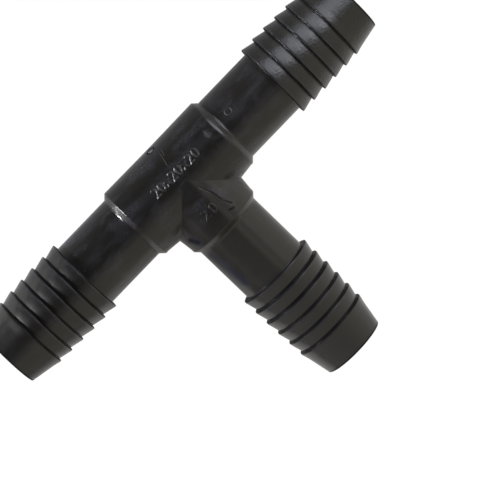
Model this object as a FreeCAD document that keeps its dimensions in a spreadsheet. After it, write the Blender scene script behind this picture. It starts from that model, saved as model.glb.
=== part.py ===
import FreeCAD, Part
import os
import Sketcher

# Equal barbed insert tee for 3/4 in soft irrigation pipe, in millimetres.
# The real thing is one injection moulding. It is modelled region by region: the hub, where the run and
# the branch meet, and the three barbed spigots that continue it. Neighbours share the ring-shaped face
# where the hub's shoulder ends and the spigot's stem begins. The axes of the run (X) and of the branch (-Y)
# cross at the origin, and the tee lies flat.

doc = FreeCAD.newDocument("insert_tee")

# --- Driving sizes ----------------------------------------------------------------------------------------

SIZES = {
    # waterway and walls, counted outwards from the bore
    "bore_radius": 7.6,
    "stem_wall": 2.22,
    "shoulder_height": 1.29,
    "collar_inset": 0.06,
    "waist_sink": 0.12,
    # hub, along each arm from the crossing of the axes
    "hub_reach": 16.15,
    "shoulder_length": 1.33,
    "shoulder_round": 0.25,
    # swelling in the two crotches between run and branch
    "flare_sunk": 0.1,
    "flare_lean": 6.3,
    "flare_inset": 2.0,
    # stem and barbs, along each spigot from the end of the shoulder
    "stem_length": 17.5,
    "barb_pitch": 4.02,
    "barb_height": 1.42,
    "barb_depth": 0.86,
    "barb_land": 0.35,
    "barb_lean": 0.15,
    "barb_drop": 0.13,
    # nose outboard of the last barb: a short steep lead, then a long gentle one
    "nose_length": 8.78,
    "lead_length": 2.2,
    "lead_drop": 0.48,
    "nose_wall": 1.54,
    "nose_round": 0.3,
    "mouth_chamfer": 0.35,
    # gate on the back of the hub: a dished recess that holds the torn stub of the runner
    "gate_lift": 17.0,
    "recess_radius": 1.4,
    "recess_depth": 0.3,
    "stub_radius": 0.8,
    "stub_tip_radius": 0.65,
    "stub_proud": 0.1,
}
BARBS = 6
LEVEL_BARBS = 3  # crests of one height, after which each crest steps down towards the nose

sheet = doc.addObject("Spreadsheet::Sheet", "sizes")
for row, (name, size) in enumerate(SIZES.items(), start=1):
    sheet.set(f"A{row}", name)
    sheet.set(f"B{row}", str(size))
    sheet.setAlias(f"B{row}", name)
doc.recompute()

# Radii and stations that follow from the driving sizes, as expressions on the sheet.
BORE = "sizes.bore_radius"
STEM = f"({BORE} + sizes.stem_wall)"
HUB = f"({STEM} + sizes.shoulder_height)"
WAIST = f"({HUB} - sizes.waist_sink)"
COLLAR = f"({HUB} - sizes.collar_inset)"
CREST = f"({STEM} + sizes.barb_height)"
NOSE = f"({BORE} + sizes.nose_wall)"
HUB_END = "(sizes.hub_reach + sizes.shoulder_length)"
FIRST_BARB = f"({HUB_END} + sizes.stem_length)"
LAST_BARB = f"({FIRST_BARB} + {BARBS - 1} * sizes.barb_pitch)"
ARM_END = f"({LAST_BARB} + sizes.nose_length)"


def size_of(expression):
    """The value of an expression on the sheet, as a plain number."""
    return float(sheet.evalExpression(expression))


# --- Sketches and features --------------------------------------------------------------------------------


def origin_plane(body, role):
    return next(plane for plane in body.Origin.OriginFeatures if plane.Role == role)


def new_sketch(body, label, plane):
    """An empty sketch on one of the body's own origin planes."""
    sketch = body.newObject("Sketcher::SketchObject", label)
    sketch.AttachmentSupport = [(origin_plane(body, plane), "")]
    sketch.MapMode = "FlatFace"
    return sketch


def bind(sketch, expression, *constraint):
    """Add a constraint whose value is an expression on the sheet."""
    index = sketch.addConstraint(Sketcher.Constraint(*constraint, size_of(expression)))
    sketch.setExpression(f"Constraints[{index}]", expression)


def draw_outline(sketch, corners):
    """Close an outline of straight edges through corners, (x, y) expressions in which "0" is on an axis."""
    points = [FreeCAD.Vector(size_of(x), size_of(y), 0) for x, y in corners]
    for start, end in zip(points, points[1:] + points[:1]):
        sketch.addGeometry(Part.LineSegment(start, end), False)
    for number, (x, y) in enumerate(corners):
        before = (number - 1) % len(corners)
        sketch.addConstraint(Sketcher.Constraint("Coincident", before, 2, number, 1))
        for kind, axis, place in (("DistanceX", -2, x), ("DistanceY", -1, y)):
            if place == "0":
                sketch.addConstraint(Sketcher.Constraint("PointOnObject", number, 1, axis))
            else:
                bind(sketch, place, kind, -1, 1, number, 1)


def turn(body, kind, label, sketch, axis):
    """Revolve the sketch fully about one of its axes or edges, to add (Revolution) or to cut (Groove)."""
    doc.recompute()
    feature = body.newObject(f"PartDesign::{kind}", label)
    feature.Profile = sketch
    feature.ReferenceAxis = (sketch, [axis])
    feature.Angle = 360
    doc.recompute()
    return feature


def dress(body, kind, label, edges, size, value):
    """Round (Fillet, Radius) or bevel (Chamfer, Size) the named edges of the body's last feature."""
    base = body.Tip
    feature = body.newObject(f"PartDesign::{kind}", label)
    feature.Base = (base, edges)
    feature.setExpression(size, value)
    doc.recompute()
    return feature


def circles(shape, direction, station, radius):
    """Names of the circular edges about a main axis, at a distance along it and with a radius."""
    names = []
    for number, edge in enumerate(shape.Edges, start=1):
        curve = edge.Curve
        if not isinstance(curve, Part.Circle):
            continue
        along = curve.Center.dot(direction)
        aside = (curve.Center - direction * along).Length
        if aside < 1e-4 and abs(along - station) < 1e-4 and abs(curve.Radius - radius) < 1e-4:
            names.append(f"Edge{number}")
    return names


def leaning(u, w, angle, x="0", y="0"):
    """The corner at u along and w to the left of a line that leaves (x, y) at an angle in degrees."""
    cosine, sine = f"cos(({angle}) * 1deg)", f"sin(({angle}) * 1deg)"
    return f"{x} + ({u}) * {cosine} - ({w}) * {sine}", f"{y} + ({u}) * {sine} + ({w}) * {cosine}"


# --- Hub: barrel of the run with the collar of the branch -------------------------------------------------

hub = doc.addObject("PartDesign::Body", "tee_hub")

# The barrel is slightly waisted between its two shoulders, as a thick wall sinks when it cools.
barrel = new_sketch(hub, "barrel_profile", "XY_Plane")
draw_outline(
    barrel,
    [
        (f"-{HUB_END}", "0"),
        (f"-{HUB_END}", STEM),
        ("-sizes.hub_reach", HUB),
        ("0", WAIST),
        ("sizes.hub_reach", HUB),
        (HUB_END, STEM),
        (HUB_END, "0"),
    ],
)
turn(hub, "Revolution", "barrel", barrel, "H_Axis")

collar = new_sketch(hub, "collar_profile", "XY_Plane")
draw_outline(
    collar,
    [
        ("0", "0"),
        (COLLAR, "0"),
        (COLLAR, "-sizes.hub_reach"),
        (STEM, f"-{HUB_END}"),
        ("0", f"-{HUB_END}"),
    ],
)
turn(hub, "Revolution", "collar", collar, "V_Axis")

shoulders = []
for direction, radius in (((1, 0, 0), HUB), ((-1, 0, 0), HUB), ((0, -1, 0), COLLAR)):
    direction = FreeCAD.Vector(*direction)
    shoulders += circles(hub.Shape, direction, size_of("sizes.hub_reach"), size_of(radius))
dress(hub, "Fillet", "shoulder_rounds", shoulders, "Radius", "sizes.shoulder_round")

# Each crotch swells: a narrower barrel leans out of the run and another out of the branch, and both surface
# only beside the crotch. The right-hand pair is mirrored to the left.
flares = []
for label, angle, radius, axis_side, on_branch in (
    ("run_flare", "180 + sizes.flare_lean", HUB, "-1", False),
    ("branch_flare", "90 - sizes.flare_lean", COLLAR, "1", True),
):
    sunk = f"({radius} - sizes.flare_sunk)"
    start = (sunk, "-sizes.hub_reach") if on_branch else ("sizes.hub_reach", f"-{sunk}")
    length = f"(sizes.hub_reach - {COLLAR} / 2)"
    axis = f"{axis_side} * ({radius} - sizes.flare_inset)"
    profile = new_sketch(hub, f"{label}_profile", "XY_Plane")
    corners = [("0", axis), (length, axis), (length, "0"), ("0", "0")]
    draw_outline(profile, [leaning(u, w, angle, *start) for u, w in corners])
    flares.append(turn(hub, "Revolution", label, profile, "Edge1"))

left_flares = hub.newObject("PartDesign::Mirrored", "left_flares")
left_flares.Originals = flares
left_flares.MirrorPlane = (origin_plane(hub, "YZ_Plane"), [""])
hub.Tip = left_flares
doc.recompute()

# The two core pins meet in the middle. Each bore is cut a little past the shoulder's end face.
past = f"({HUB_END} + {BORE})"
run_bore = new_sketch(hub, "run_bore_profile", "XY_Plane")
draw_outline(run_bore, [(f"-{past}", "0"), (f"-{past}", BORE), (past, BORE), (past, "0")])
turn(hub, "Groove", "run_bore", run_bore, "H_Axis")

branch_bore = new_sketch(hub, "branch_bore_profile", "XY_Plane")
draw_outline(branch_bore, [("0", "0"), (BORE, "0"), (BORE, f"-{past}"), ("0", f"-{past}")])
turn(hub, "Groove", "branch_bore", branch_bore, "V_Axis")

# Gate: the recess is a shallow cone, and the stub stands on its floor. Both are turned about an axis that
# leaves the run's axis at right angles, lifted from the back of the hub towards the top.
floor = f"({WAIST} - sizes.recess_depth)"
above = f"({WAIST} + sizes.recess_depth)"
foot = f"({floor} - sizes.recess_depth)"
tip = f"({WAIST} + sizes.stub_proud)"
recess = [(floor, "0"), (WAIST, "sizes.recess_radius"), (above, "sizes.recess_radius"), (above, "0")]
stub = [(foot, "0"), (foot, "sizes.stub_radius"), (tip, "sizes.stub_tip_radius"), (tip, "0")]
for kind, label, corners in (("Groove", "gate_recess", recess), ("Revolution", "gate_stub", stub)):
    profile = new_sketch(hub, f"{label}_profile", "YZ_Plane")
    draw_outline(profile, [leaning(u, w, "sizes.gate_lift") for u, w in corners])
    turn(hub, kind, label, profile, "Edge4")

# --- Spigots: stem, barbs and nose, one on each arm -------------------------------------------------------


def spigot_corners():
    """The spigot's half section along X: out over the stem, barbs and nose, and back along the bore."""
    corners = [(HUB_END, BORE), (HUB_END, STEM)]
    root = STEM
    for barb in range(BARBS):
        station = f"({FIRST_BARB} + {barb} * sizes.barb_pitch)"
        crest = f"({CREST} - {max(0, barb + 1 - LEVEL_BARBS)} * sizes.barb_drop)"
        corners.append((f"{station} - sizes.barb_lean", root))
        corners.append((station, crest))
        corners.append((f"{station} + sizes.barb_land", crest))
        root = f"({crest} - sizes.barb_depth)"
    corners.append((f"{station} + sizes.lead_length", f"{crest} - sizes.lead_drop"))
    return corners + [(ARM_END, NOSE), (ARM_END, BORE)]


spigots = []
for node, heading in (("run_spigot_right", 0), ("run_spigot_left", 180), ("branch_spigot", -90)):
    spigot = doc.addObject("PartDesign::Body", node)
    section = new_sketch(spigot, f"{node}_section", "XY_Plane")
    draw_outline(section, spigot_corners())
    turn(spigot, "Revolution", f"{node}_wall", section, "H_Axis")
    along = FreeCAD.Vector(1, 0, 0)
    rim = circles(spigot.Shape, along, size_of(ARM_END), size_of(NOSE))
    dress(spigot, "Fillet", f"{node}_rim_round", rim, "Radius", "sizes.nose_round")
    mouth = circles(spigot.Shape, along, size_of(ARM_END), size_of(BORE))
    dress(spigot, "Chamfer", f"{node}_mouth_chamfer", mouth, "Size", "sizes.mouth_chamfer")
    spigot.Placement.Rotation = FreeCAD.Rotation(FreeCAD.Vector(0, 0, 1), heading)
    spigots.append(spigot)

# --- Check and write --------------------------------------------------------------------------------------

doc.recompute()
failed = [item.Name for item in doc.Objects if {"Invalid", "Error"} & set(item.State)]
nodes = [hub, *spigots]
for node in nodes:
    if node.Shape.isNull() or not node.Shape.isValid() or len(node.Shape.Solids) != 1:
        failed.append(node.Label)
if failed:
    raise RuntimeError("not built: " + ", ".join(failed))

os.makedirs("parts", exist_ok=True)
for node in nodes:
    node.Shape.exportStep(f"parts/{node.Label}.step")
    print(f"{node.Label}: {node.Shape.Volume:.1f} mm3, {len(node.Shape.Faces)} faces")
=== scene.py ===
"""A barbed insert tee for irrigation hose, moulded in black plastic, lying flat on a pale bench."""
from math import cos, radians, sin

import bpy
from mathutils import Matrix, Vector


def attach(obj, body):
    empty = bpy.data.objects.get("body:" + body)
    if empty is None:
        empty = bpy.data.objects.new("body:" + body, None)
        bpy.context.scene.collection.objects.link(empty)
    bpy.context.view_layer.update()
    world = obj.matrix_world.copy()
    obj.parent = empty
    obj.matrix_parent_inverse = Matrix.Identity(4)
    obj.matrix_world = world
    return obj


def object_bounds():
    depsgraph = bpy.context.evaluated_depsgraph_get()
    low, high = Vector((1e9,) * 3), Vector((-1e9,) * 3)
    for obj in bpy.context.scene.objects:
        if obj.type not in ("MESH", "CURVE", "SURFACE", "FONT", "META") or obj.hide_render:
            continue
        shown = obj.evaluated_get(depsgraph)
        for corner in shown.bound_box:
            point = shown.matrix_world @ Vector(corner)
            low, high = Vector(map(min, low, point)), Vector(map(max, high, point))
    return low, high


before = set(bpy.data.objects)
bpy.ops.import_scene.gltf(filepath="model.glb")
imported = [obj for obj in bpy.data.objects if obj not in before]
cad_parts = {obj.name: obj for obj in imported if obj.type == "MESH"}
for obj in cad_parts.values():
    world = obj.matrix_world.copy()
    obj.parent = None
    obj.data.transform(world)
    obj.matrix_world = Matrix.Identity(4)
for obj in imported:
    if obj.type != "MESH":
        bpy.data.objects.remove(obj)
cad_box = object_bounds()
scene = bpy.context.scene

# Camera: a long lens almost straight above the tee, leaning a little from the back of the run, and
# turned so that the run rises to the right.
scene.view_settings.view_transform = "Standard"
camera = bpy.data.objects.new("camera", bpy.data.cameras.new("camera"))
scene.collection.objects.link(camera)
scene.camera = camera
camera.location = (-0.00106, 0.07893, 0.74629)
camera.rotation_euler = (radians(-5.564), radians(-5.803), radians(-45.791))
camera.data.lens = 208.93
camera.data.sensor_width = 36
camera.data.clip_end = 20

# Bench: a wide sheet of board that the tee rests on, plain white to look at. The gloss of the
# plastic mirrors it darker, in a tone of painted light and shade that turns paler to the front,
# most of all on the right.


class Value:
    """One output of a node tree, with arithmetic and comparisons that add Math nodes."""

    def __init__(self, tree, socket):
        self.tree, self.socket = tree, socket

    def node(self, kind, output=0, settings=None, **inputs):
        """A new node's output. Its inputs are given by name, or as i and their number."""
        made = self.tree.nodes.new("ShaderNode" + kind)
        for name, setting in (settings or {}).items():
            if name == "stops":
                ramp = made.color_ramp
                while len(ramp.elements) < len(setting):
                    ramp.elements.new(0.5)
                for element, (place, colour) in zip(ramp.elements, setting):
                    element.position, element.color = place, (*colour, 1)
            else:
                setattr(made, name, setting)
        for name, given in inputs.items():
            numbered = name[0] == "i" and name[1:].isdigit()
            place = int(name[1:]) if numbered else name.replace("_", " ")
            if isinstance(given, Value):
                self.tree.links.new(given.socket, made.inputs[place])
            else:
                made.inputs[place].default_value = given
        return Value(self.tree, made.outputs[output])

    def other(self, output):
        """Another output of the same node."""
        return Value(self.tree, self.socket.node.outputs[output])

    def math(self, operation, *others):
        return self.node("Math", settings={"operation": operation},
                         **{f"i{i}": v for i, v in enumerate(others)})

    def vector(self, operation, *others, output=0):
        return self.node("VectorMath", output, {"operation": operation},
                         **{f"i{i}": v for i, v in enumerate(others)})

    def __add__(self, other):
        return self.math("ADD", self, other)

    def __sub__(self, other):
        return self.math("SUBTRACT", self, other)

    def __rsub__(self, other):
        return self.math("SUBTRACT", other, self)

    def __mul__(self, other):
        return self.math("MULTIPLY", self, other)

    def __gt__(self, other):
        return self.math("GREATER_THAN", self, other)

    def __lt__(self, other):
        return self.math("LESS_THAN", self, other)

    def __abs__(self):
        return self.math("ABSOLUTE", self)

    def out(self):
        """Makes this the surface of the material."""
        output = self.tree.nodes.new("ShaderNodeOutputMaterial")
        self.tree.links.new(self.socket, output.inputs["Surface"])


def new_material(name):
    """An empty material, and a value that starts its node tree."""
    material = bpy.data.materials.new(name)
    material.use_nodes = True
    material.node_tree.nodes.clear()
    return material, Value(material.node_tree, None)


def flat_sheet(name, centre, width, height, turn=(0, 0, 0)):
    """A rectangle with its size, turn and place in its mesh."""
    bpy.ops.mesh.primitive_plane_add(size=1, location=centre, rotation=turn)
    made = bpy.context.active_object
    made.name = name
    made.scale = (width, height, 1)
    bpy.ops.object.transform_apply(location=True, rotation=True, scale=True)
    return made


OBJECT_PLACE, WORLD_DIRECTION = 3, 0  # outputs of a texture coordinate node
LENGTH_OUT = 1  # the output of a vector node that gives a number

bench = flat_sheet("bench", (0, 0, cad_box[0].z), 8, 8)
board, shade = new_material("white board")
place = shade.node("TexCoord", OBJECT_PLACE)
east = place.node("SeparateXYZ", Vector=place)
dark_to_pale = (
    (0.0, (0.10, 0.10, 0.10)), (0.35, (0.30, 0.30, 0.30)), (0.65, (0.92, 0.90, 0.85)))
# Painted light and shade on the board, seen only in the gloss: darker behind, paler to the front.
painted_light_tone = east.node("ValToRGB", settings={"stops": dark_to_pale},
                 Fac=0.5 - east.other("Y") * (east * 220.0 + 13.0))
board_matt = shade.node("BsdfPrincipled", Base_Color=painted_light_tone, Roughness=0.2)
board_white = shade.node("Emission", Color=(1, 1, 1, 1), Strength=1.03)
ray = shade.node("LightPath")
gloss = ray.other("Is Glossy Ray") + ray.other("Is Transmission Ray")
white_share = ray * 0.97 + gloss * 0.25
shade.node("MixShader", i0=white_share, i1=board_matt, i2=board_white).out()
bench.data.materials.append(board)

# Light: a pale room with a wide soft window and its brighter core on the right, a strip light and
# a small lamp low on the left, a smaller lamp low on the right, and a dim canopy overhead with two
# curtains, whose edges draw the long lines on the plastic.
room = bpy.data.worlds.new("pale room")
scene.world = room
room.use_nodes = True
wall = Value(room.node_tree, None)
aim = wall.node("SeparateXYZ", Vector=wall.node("TexCoord", WORLD_DIRECTION))
bright_side = aim.math("POWER", aim.math("MAXIMUM", aim, 0.0), 1.5) * (
    aim.other("Y") * 0.5 + 1.0)
paint = wall.node("Background", Color=(0.68, 0.65, 0.55, 1), Strength=bright_side * 0.58 + 1.03)
backdrop = wall.node("Background", Color=(1, 1, 1, 1), Strength=1.0)
seen = wall.node("MixShader", i0=wall.node("LightPath"), i1=paint, i2=backdrop)
room.node_tree.links.new(seen.socket, room.node_tree.nodes["World Output"].inputs["Surface"])


def ramp(value, start, end, low=0.0, high=1.0):
    """Smoothly from low to high as value goes from start to end."""
    return value.node("MapRange", settings={"interpolation_type": "SMOOTHSTEP"}, Value=value,
                      From_Min=start, From_Max=end, To_Min=low, To_Max=high)


def card(name, centre, facing, width, height, colour, edge):
    """A glowing sheet that faces a point. Its glow fades out over its outer part, edge (0 to 1)."""
    away = Vector(centre) - Vector(facing)
    turned = away.to_track_quat("Z", "Y")
    sheet = flat_sheet(name, centre, width, height, turned.to_euler())
    glow, shade = new_material(name)
    place = shade.node("TexCoord", OBJECT_PLACE)
    level = 1.0
    for axis, size in ((Vector((1, 0, 0)), width), (Vector((0, 1, 0)), height)):
        axis = turned @ axis
        along = place.vector("DOT_PRODUCT", place, axis, output=LENGTH_OUT)
        off = abs(along - axis.dot(Vector(centre)))
        level = ramp(off, size / 2 * (1 - edge), size / 2, 1.0, 0.0) * level
    shade.node("Emission", Color=(*colour, 1), Strength=level).out()
    sheet.data.materials.append(glow)
    sheet.visible_camera = False


def toward(azimuth, fall, distance):
    """A point at a distance from the middle of the tee, fall degrees down from straight above."""
    a, p = radians(azimuth), radians(fall)
    return Vector((sin(p) * cos(a), sin(p) * sin(a), cos(p))) * distance


middle = (0, 0, 0)
card("window", toward(36, 49, 0.55), middle, 0.68, 0.63, (3.5, 3.6, 4.0), 0.6)
card("window core", toward(15, 50, 0.54), middle, 0.34, 0.32, (9.8, 9.9, 10.6), 1.0)
card("strip", toward(113, 77, 0.5), middle, 0.20, 0.34, (0.9, 0.9, 0.94), 0.9)
card("lamp", toward(146, 79, 0.5), middle, 0.12, 0.12, (150, 150, 157), 0.4)
card("small lamp", toward(16, 79, 0.5), middle, 0.08, 0.08, (7, 7, 7.3), 0.4)

canopy = flat_sheet("canopy", (-0.3625, 0.325, 0.3), 0.875, 0.99)
dim, shade = new_material("dim canopy")
across = shade.node("SeparateXYZ", Vector=shade.node("TexCoord", OBJECT_PLACE))
front = ramp(across.other("Y"), -0.035, -0.085, 0.0, 0.32)
side = ramp(across, -0.45, -0.72, 0.0, 0.27)
shade.node("Emission", Color=(1.0, 0.96, 0.92, 1), Strength=front + side + 0.07).out()
canopy.data.materials.append(dim)
canopy.visible_camera = False
card("side curtain", (-0.80, -0.02, 0.145), (0, -0.02, 0.145), 0.46, 0.31, (0.33, 0.31, 0.29), 0.1)
card("back curtain", (0.05, 0.82, 0.145), (0.05, 0, 0.145), 0.60, 0.31, (0.22, 0.21, 0.20), 0.1)

# Tee: one injection moulding in black plastic with a satin skin, duller on the right end, a cloudy
# bloom, dust, crowned barbs, rounded shoulders and a faint parting line. It has a flow scar, dark
# spots, a sunk spot, an ejector's ring and two scratches. Painted on it are shade in the scar, the
# grooves, the gate's hollow, the nose rims and on the branch's crest edges, a bluish reflection of
# shade as a blot and a streak, and highlights along the run's top, the crest edges and the sunk
# spot.
plastic, shade = new_material("black moulded plastic")
place = shade.node("TexCoord", OBJECT_PLACE)
x = place.node("SeparateXYZ", Vector=place)
y, z = x.other("Y"), x.other("Z")
out_along = x.math("MAXIMUM", abs(x), y * -1.0)
mm = 1000


def span(*axes):
    """Distance from the axis through the middle whose place among the three numbers is 0."""
    flat = place.vector("MULTIPLY", place, axes)
    return flat.vector("LENGTH", flat, output=LENGTH_OUT)


bore_limit, branch_start = 0.008, -0.006
off_branch = y.math("MAXIMUM", span(1, 0, 1), y + (bore_limit - branch_start))
outer = (span(0, 1, 1) > bore_limit) * (off_branch > bore_limit)
outer_top = outer * (z > 0.0)


def near(points, reach):
    """1 on a line over the top of the tee through some points, in mm, and 0 from reach mm away."""
    spot = place.vector("MULTIPLY", place, (mm, mm, 0))
    nearest = None
    for (x0, y0), (x1, y1) in zip(points, points[1:]):
        start, way = Vector((x0, y0, 0)), Vector((x1 - x0, y1 - y0, 0))
        gone = spot.vector("SUBTRACT", spot, start)
        share = gone.vector("DOT_PRODUCT", gone, way / way.length_squared, output=LENGTH_OUT)
        share = share.node("Clamp", Value=share)
        foot = share.node("VectorMath", settings={"operation": "SCALE"}, i0=way, Scale=share)
        off = foot.vector("DISTANCE", gone, foot, output=LENGTH_OUT)
        nearest = off if nearest is None else off.math("MINIMUM", off, nearest)
    return ramp(nearest, 0.0, reach, 1.0, 0.0) * outer_top


def from_point(*centre):
    """Distance in mm from a point."""
    return place.vector("DISTANCE", place, centre, output=LENGTH_OUT) * mm


def blend(share, under, over):
    """One colour over another, by a share from 0 to 1."""
    return share.node("Mix", 2, {"data_type": "RGBA"}, i0=share, i6=under, i7=over)


first_crest, pitch, flank, crown, slopes = 0.03498, 0.00402, 0.0036, 0.12, 5.0
barb = (out_along - first_crest) * (1 / pitch)
flanks = (barb > 0.0) * (barb < slopes)
along_barb = barb.math("FRACT", barb)
step, before_crest = along_barb * pitch, (1.0 - along_barb) * pitch

cloud = place.node("TexNoise", Vector=place.vector("MULTIPLY", place, (0.45, 1, 1)),
                   Scale=360.0, Detail=3.0, Roughness=0.55, Distortion=0.2)
fine = place.node("TexNoise", Vector=place, Scale=1400.0, Detail=3.0)
swell = place.node("TexNoise", Vector=place, Scale=230.0, Detail=1.0)
cell = place.node("TexVoronoi", Vector=place, Scale=420.0)
dust = (cell < 0.06) * (cell.other("Color") > 0.74)
bloom = ramp(cloud, 0.40, 0.72) * ramp(out_along, 0.0325, 0.0345, 1.0, 0.3)
bloom = bloom * ramp(y, -0.013, -0.009, 0.35, 1.0) * ramp(x, 0.0165, 0.0185, 1.0, 0.85)
# Painted sheen: a pale band along the top of the run and a pale band on each flank just after its
# crest stand in for reflections. A pale haze follows the scar on the collar.
painted_sheen_and_haze = near([(-16.5, 3.4), (8.5, 3.0)], 3.2) * 0.33 + near([(3.6, -7.0), (5.4, -13.2)], 1.8) * 0.5
painted_sheen_and_haze = painted_sheen_and_haze + ramp(step, 0.0009, 0.0001) * flanks * 0.9
# A pale line on each crest edge: rubbed wear, and a painted highlight of the rounded edge.
crest_wear_and_highlight = ramp(step, 0.00022, 0.00004) * flanks * ramp(cloud, 0.40, 0.60)
duller = ramp(x, 0.0335, 0.0350)

scratches = near([(1.2, 8.7), (0.35, 5.5)], 0.14) + near([(2.2, 9.2), (1.6, 7.6)], 0.12)
scar = near([(2.0, -4.3), (3.2, -7.2), (3.5, -9.3), (3.7, -10.8), (5.0, -13.2)], 0.30)
spots = near([(12.6, 6.4), (12.7, 6.6)], 0.34) + near([(14.5, 0.4), (14.7, 0.3)], 0.32)
spots = spots + near([(12.2, -0.6), (12.4, -0.7)], 0.25) + near([(3.3, -13.9), (4.4, -14.3)], 0.55)
ring = ramp(abs(from_point(0.0209, 0.0038, 0.0091) - 0.95), 0.0, 0.22, 1.0, 0.0)
# The sunk spot: a shallow dent in the bump, with a pale painted highlight in it.
dent_off = place.vector("MULTIPLY_ADD", place, (770, 555, 0), (-10.3, -2.08, 0))
dent_off = dent_off.vector("LENGTH", dent_off, output=LENGTH_OUT)
sunk_spot_and_gleam = ramp(dent_off, 0.1, 1.0, 1.0, 0.0) * ramp(fine, 0.38, 0.55) * outer_top
# Painted reflection: a bluish blot on the collar and a streak down the branch's left side stand in
# for the tee's shade on the bench, mirrored.
painted_reflection_blot = near([(-9.3, -12.8), (-8.5, -14.3)], 1.4)
painted_reflection_streak = near([(-8.5, -19.5), (-7.7, -30.5)], 1.5)

black, stem_black = (0.0056, 0.0053, 0.0046, 1), (0.0115, 0.0112, 0.0088, 1)
barb_black, painted_reflection_blue = (0.0085, 0.0085, 0.0120, 1), (0.003, 0.005, 0.024, 1)
bloom_and_sheen_milky, wear_and_highlight_grey = (0.0142, 0.0133, 0.0163, 1), (0.10, 0.10, 0.105, 1)
tint = blend(near([(0, -19.5), (0, -33.5)], 7.5), black, stem_black)
tint = blend(ramp(y, -0.0335, -0.0350) * 0.5, tint, barb_black)
# Milky tint: the real bloom, and the painted sheen.
tint = blend(bloom + painted_sheen_and_haze, tint, bloom_and_sheen_milky)
tint = blend(dust * 0.18 + scratches * 0.3 + sunk_spot_and_gleam * 0.20 + ring * 0.10 + crest_wear_and_highlight * 0.3,
             tint, wear_and_highlight_grey)
tint = blend(painted_reflection_blot * 0.9 + painted_reflection_streak * 0.7, tint, painted_reflection_blue)


def straight(value, start, end):
    """Evenly from 0 to 1 as value goes from start to end."""
    return value.node("MapRange", Value=value, From_Min=start, From_Max=end, To_Min=0.0, To_Max=1.0)


def bend(value, start, end, height):
    """From 0 to height as value goes from start to end, level at the start."""
    share = straight(value, start, end)
    return share * share * height


def settle(value, start, end, height):
    """From 0 to height as value goes from start to end, level at the end."""
    share = straight(value, start, end)
    return share * (2.0 - share) * height


stem_edge = 0.01748
brow, instep = bend(x, 0.0153, 0.01615, -2.2e-4), bend(x, 0.0171, stem_edge, 1.29e-4)
foot, branch_foot = settle(x, stem_edge, 0.0179, -6.83e-5), settle(y, -stem_edge, -0.0183, -1.91e-4)
left_foot = straight(x, -stem_edge, -0.0178) * straight(y, 0.0022, 0.0044) * -1.7e-4
rounded = (brow + instep + foot + left_foot + branch_foot) * outer
crowned = step.math("MAXIMUM", step * (flank - step) * (crown / flank), 0.0) * flanks
wavy = swell * 4e-6 + fine * (duller * 8e-5 + 1.5e-6)
parting = ramp(abs(z), 0.00005, 0.00014, 3e-5, 0.0) * outer
marks = ring * 4e-5 - scar * 1.6e-4 - scratches * 2e-5 - sunk_spot_and_gleam * 6e-5
softened = place.node("Bevel", settings={"samples": 4}, Radius=0.00018)
skin = place.node("Bump", Strength=1.0, Distance=1.0, Normal=softened,
                  Height=crowned + wavy + parting + marks + rounded)
satin = shade.node("BsdfPrincipled", Base_Color=tint, Normal=skin,
                   Roughness=bloom * 0.04 + fine * 0.06 + duller * 0.05 + 0.21)

# Painted shade: dark matt in and around the gate's hollow on the back of the hub.
gate = ramp(from_point(0, 0.01038, 0.00317), 1.5, 1.25)
# Painted shade: a dark matt line in each barb's groove, just before the next crest.
groove_painted_shade = ramp(before_crest, 0.00023, 0.00011) * (barb > -0.5) * (barb < slopes)
# Painted shade: the crest edges of the branch's barbs are darkened, which hides their glints.
branch_crests_painted_dark = ramp(step, 0.00012, 0.00006) * (y < -0.034) * (y > -0.0555)
# Painted shade: a dark matt ring at the mouth of each spigot.
rim = ramp(out_along, 0.06325, 0.06350)
# Painted shade: a dark matt skin laid in the scar, the gate's hollow, the nose rims, the grooves
# and on the branch's crest edges, and in the bluish painted reflection of the blot and streak. The
# dark spots are real.
painted_shade_and_spots = ramp(scar, 0.3, 0.9) * ramp(cloud, 0.35, 0.6, 0.35, 0.75) + gate * 0.85 + rim * 0.7
painted_shade_and_spots = painted_shade_and_spots + (groove_painted_shade + branch_crests_painted_dark + spots + painted_reflection_blot) * 0.8 + painted_reflection_streak * 0.45
painted_shade_and_spot_matt = shade.node("BsdfPrincipled", Base_Color=(0.004, 0.004, 0.004, 1), Roughness=0.8,
                    Specular_IOR_Level=0.05)
shade.node("MixShader", i0=painted_shade_and_spots.node("Clamp", Value=painted_shade_and_spots), i1=satin, i2=painted_shade_and_spot_matt).out()
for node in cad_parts.values():
    node.data.materials.clear()
    node.data.materials.append(plastic)

# Size figures: plain figures raised by the mould, about 0.05 mm proud along the top of the hub and
# 0.1 mm proud across the collar of the branch. They are the same plastic, a little rubbed.
rubbed, shade = new_material("rubbed black plastic")
place = shade.node("TexCoord", OBJECT_PLACE)
rubbing = place.node("TexNoise", Vector=place, Scale=700.0, Detail=3.0)
rubbed_tint = rubbing.node("ValToRGB", settings={"stops": (
    (0.35, (0.004, 0.004, 0.004)), (0.7, (0.008, 0.008, 0.009)))}, Fac=rubbing)
softened = place.node("Bevel", settings={"samples": 4}, Radius=0.00008)
shade.node("BsdfPrincipled", Base_Color=rubbed_tint, Roughness=rubbing * 0.12 + 0.30,
           Specular_IOR_Level=0.4, Normal=softened).out()


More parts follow.
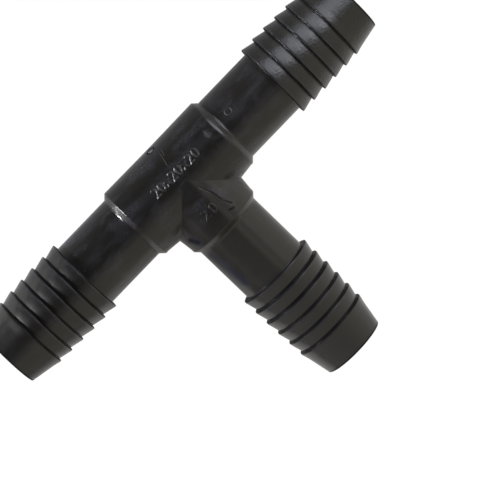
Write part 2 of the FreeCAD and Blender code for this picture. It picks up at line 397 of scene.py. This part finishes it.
def figures(name, text, left, foot, height, spacing, curve, proud):
    """Raised figures, cut into strips across the curve's direction so that they follow the hub."""
    above, figure_share, stroke, strip, strips = 0.02, 0.70, 0.0001, 0.0004, 30
    bpy.ops.object.text_add(location=(left, foot, above))
    made = bpy.context.active_object
    made.name = name
    made.data.body = text
    made.data.size = height / figure_share
    made.data.offset = stroke
    made.data.space_character = spacing
    bpy.ops.object.convert(target="MESH")
    made = bpy.context.active_object
    bpy.ops.object.transform_apply(location=True, rotation=True, scale=True)
    bpy.ops.object.mode_set(mode="EDIT")
    bpy.ops.mesh.select_all(action="SELECT")
    bpy.ops.mesh.remove_doubles(threshold=1e-6)
    for i in range(-strips, strips + 1):
        bpy.ops.mesh.select_all(action="SELECT")
        bpy.ops.mesh.bisect(plane_co=Vector(curve) * i * strip, plane_no=curve)
    bpy.ops.mesh.select_all(action="SELECT")
    bpy.ops.mesh.normals_make_consistent(inside=False)
    bpy.ops.object.mode_set(mode="OBJECT")
    wrap = made.modifiers.new("wrap", "SHRINKWRAP")
    wrap.wrap_method, wrap.target = "PROJECT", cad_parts["tee_hub"]
    wrap.use_project_z = True
    wrap.use_negative_direction, wrap.use_positive_direction = True, False
    thick = made.modifiers.new("thick", "SOLIDIFY")
    thick.thickness, thick.offset = proud * 2, 0.0
    for modifier in ("wrap", "thick"):
        bpy.ops.object.modifier_apply(modifier=modifier)
    made.data.materials.append(rubbed)
    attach(made, "root")


figures("size_figures_run", "20x20x20", left=-0.0077, foot=0.0013, height=0.00285, spacing=1.0,
        curve=(0, 1, 0), proud=0.00005)
figures("size_figures_branch", "20", left=-0.0030, foot=-0.0118, height=0.0028, spacing=1.35,
        curve=(1, 0, 0), proud=0.00011)

# Gate stub: what is left of the runner in the small hollow on the back of the hub, where it was
# torn off. It is the same plastic, rough and whitened by the tear.
torn, shade = new_material("torn plastic")
place = shade.node("TexCoord", OBJECT_PLACE)
grain = place.node("TexNoise", Vector=place, Scale=2600.0, Detail=3.0)
gate_slope = radians(17)
reach = place.vector("DOT_PRODUCT", place, (0, cos(gate_slope), sin(gate_slope)), output=LENGTH_OUT)
black_to_white = ((0.30, (0.02, 0.02, 0.02)), (0.55, (0.45, 0.47, 0.47)))
torn_tint = grain.node("ValToRGB", settings={"stops": black_to_white},
                       Fac=grain * ramp(reach, 0.01115, 0.01128, 1.0, 0.3))
torn_skin = grain.node("Bump", Strength=1.0, Distance=1.0, Height=grain * 6e-5)
shade.node("BsdfPrincipled", Base_Color=torn_tint, Roughness=grain * 0.3 + 0.3,
           Normal=torn_skin).out()
bpy.ops.mesh.primitive_cylinder_add(vertices=20, radius=0.00074, depth=0.0007,
                                    end_fill_type="NGON", location=(0, 0.01053, 0.00331),
                                    rotation=(radians(-58), 0, 0))
stub = bpy.context.active_object
stub.name = "gate_stub"
bpy.ops.object.transform_apply(location=True, rotation=True, scale=True)
bpy.ops.object.mode_set(mode="EDIT")
bpy.ops.mesh.select_all(action="SELECT")
bpy.ops.mesh.inset(thickness=0.0003, use_select_inset=False)
bpy.ops.mesh.subdivide(number_cuts=1)
bpy.ops.transform.vertex_random(offset=0.00009, uniform=0.6, normal=0.0, seed=5)
bpy.ops.object.mode_set(mode="OBJECT")
stub.data.materials.append(torn)
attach(stub, "root")
